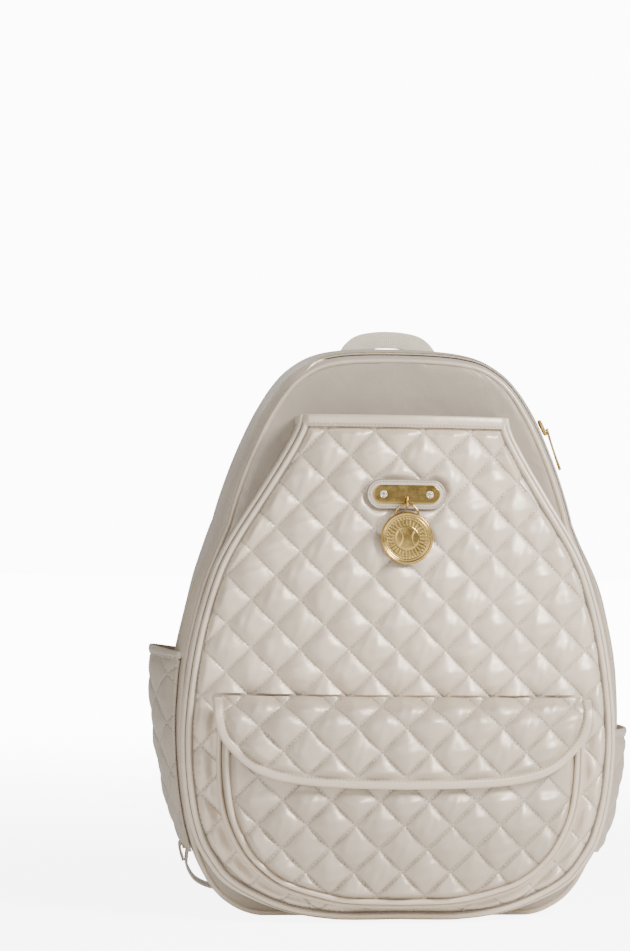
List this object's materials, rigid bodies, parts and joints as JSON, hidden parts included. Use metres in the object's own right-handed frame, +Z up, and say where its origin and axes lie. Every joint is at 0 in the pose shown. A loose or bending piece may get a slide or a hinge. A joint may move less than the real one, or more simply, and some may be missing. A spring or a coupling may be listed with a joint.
{
  "type": "racket backpack",
  "caption": "Quilted leather racket backpack with an open front racket pocket, flap pocket, side pockets, zip compartment, padded straps and a hanging medallion charm.",
  "frame": {"origin": "centre of the bag's width on its flat base, 11 mm in front of the middle of the base's depth", "axes": "front faces -Y, wearer's back +Y, X to the right seen from the front, Z up"},
  "size_m": [0.3849, 0.2421, 0.462],
  "materials": {
    "leather": "satin pearl champagne leather",
    "quilted_leather": "diamond quilted satin pearl leather",
    "leather_trim": "folded satin leather edging",
    "lining": "plain woven lining",
    "webbing": "cream woven webbing",
    "pale_gold": "polished pale gold plating"
  },
  "bodies": {
    "bag": {"main_gusset_lower": "leather", "zip_band_front": "leather", "zip_band_rear": "leather", "zip_chain": "pale_gold", "main_front_panel": "leather", "main_piping": "leather_trim", "back_panel": "leather", "back_piping": "leather_trim", "base_board": "lining", "racket_pocket_panel": "quilted_leather", "racket_pocket_gusset": "leather", "racket_pocket_piping": "leather_trim", "mouth_binding": "leather_trim", "small_pocket_panel": "quilted_leather", "small_pocket_gusset": "leather", "small_pocket_piping_outer": "leather_trim", "small_pocket_piping_inner": "leather_trim", "small_pocket_hem": "leather_trim", "snap_socket": "pale_gold", "charm_patch": "leather_trim", "charm_plate": "pale_gold", "rivet_left": "pale_gold", "rivet_right": "pale_gold", "charm_staple": "pale_gold", "side_pocket_left": "quilted_leather", "side_pocket_left_hem": "leather_trim", "side_pocket_right": "quilted_leather", "side_pocket_right_hem": "leather_trim", "strap_yoke": "leather", "shoulder_strap_left": "leather", "shoulder_strap_right": "leather", "strap_webbing_left": "webbing", "strap_webbing_right": "webbing", "strap_anchor_left": "leather", "strap_anchor_right": "leather"},
    "flap": {"flap_panel": "quilted_leather", "flap_binding": "leather_trim", "snap_stud": "pale_gold"},
    "zip_slider": {"zip_slider": "pale_gold"},
    "zip_pull": {"zip_pull": "pale_gold"},
    "charm_ring": {"charm_ring": "pale_gold"},
    "medallion": {"charm_medallion": "pale_gold", "charm_lug": "pale_gold"},
    "strap_ring_left": {"strap_ring_left": "pale_gold"},
    "strap_ring_right": {"strap_ring_right": "pale_gold"},
    "handle": {"grab_handle": "webbing"}
  },
  "joints": [
    {"name": "flap_hinge", "type": "hinge", "parent": "bag", "child": "flap", "pos_m": [0, -0.0975, 0.1705], "axis": [-1, 0, 0], "range_deg": [0, 100]},
    {"name": "zip_travel", "type": "hinge", "parent": "bag", "child": "zip_slider", "pos_m": [-0.21597, -0.026, 0.21858], "axis": [0, 1, 0], "range_deg": [0, 5.9]},
    {"name": "zip_pull_swing", "type": "hinge", "parent": "zip_slider", "child": "zip_pull", "pos_m": [0.11753, -0.026, 0.38235], "axis": [0, -1, 0], "range_deg": [0, 100]},
    {"name": "charm_ring_swing", "type": "hinge", "parent": "bag", "child": "charm_ring", "pos_m": [0, -0.09544, 0.3205], "axis": [-1, 0, 0], "range_deg": [0, 60]},
    {"name": "medallion_sway", "type": "hinge", "parent": "charm_ring", "child": "medallion", "pos_m": [0, -0.09544, 0.3025], "axis": [0, 1, 0], "range_deg": [-12, 12]},
    {"name": "strap_ring_left_swing", "type": "hinge", "parent": "bag", "child": "strap_ring_left", "pos_m": [-0.1605, 0.102, 0.0665], "axis": [0, 1, 0], "range_deg": [-10, 10]},
    {"name": "strap_ring_right_swing", "type": "hinge", "parent": "bag", "child": "strap_ring_right", "pos_m": [0.1605, 0.102, 0.0665], "axis": [0, 1, 0], "range_deg": [-10, 10]},
    {"name": "handle_tilt", "type": "hinge", "parent": "bag", "child": "handle", "pos_m": [0, 0.0625, 0.4362], "axis": [1, 0, 0], "range_deg": [-25, 25], "stiffness_Nm_per_rad": 0.02}
  ]
}
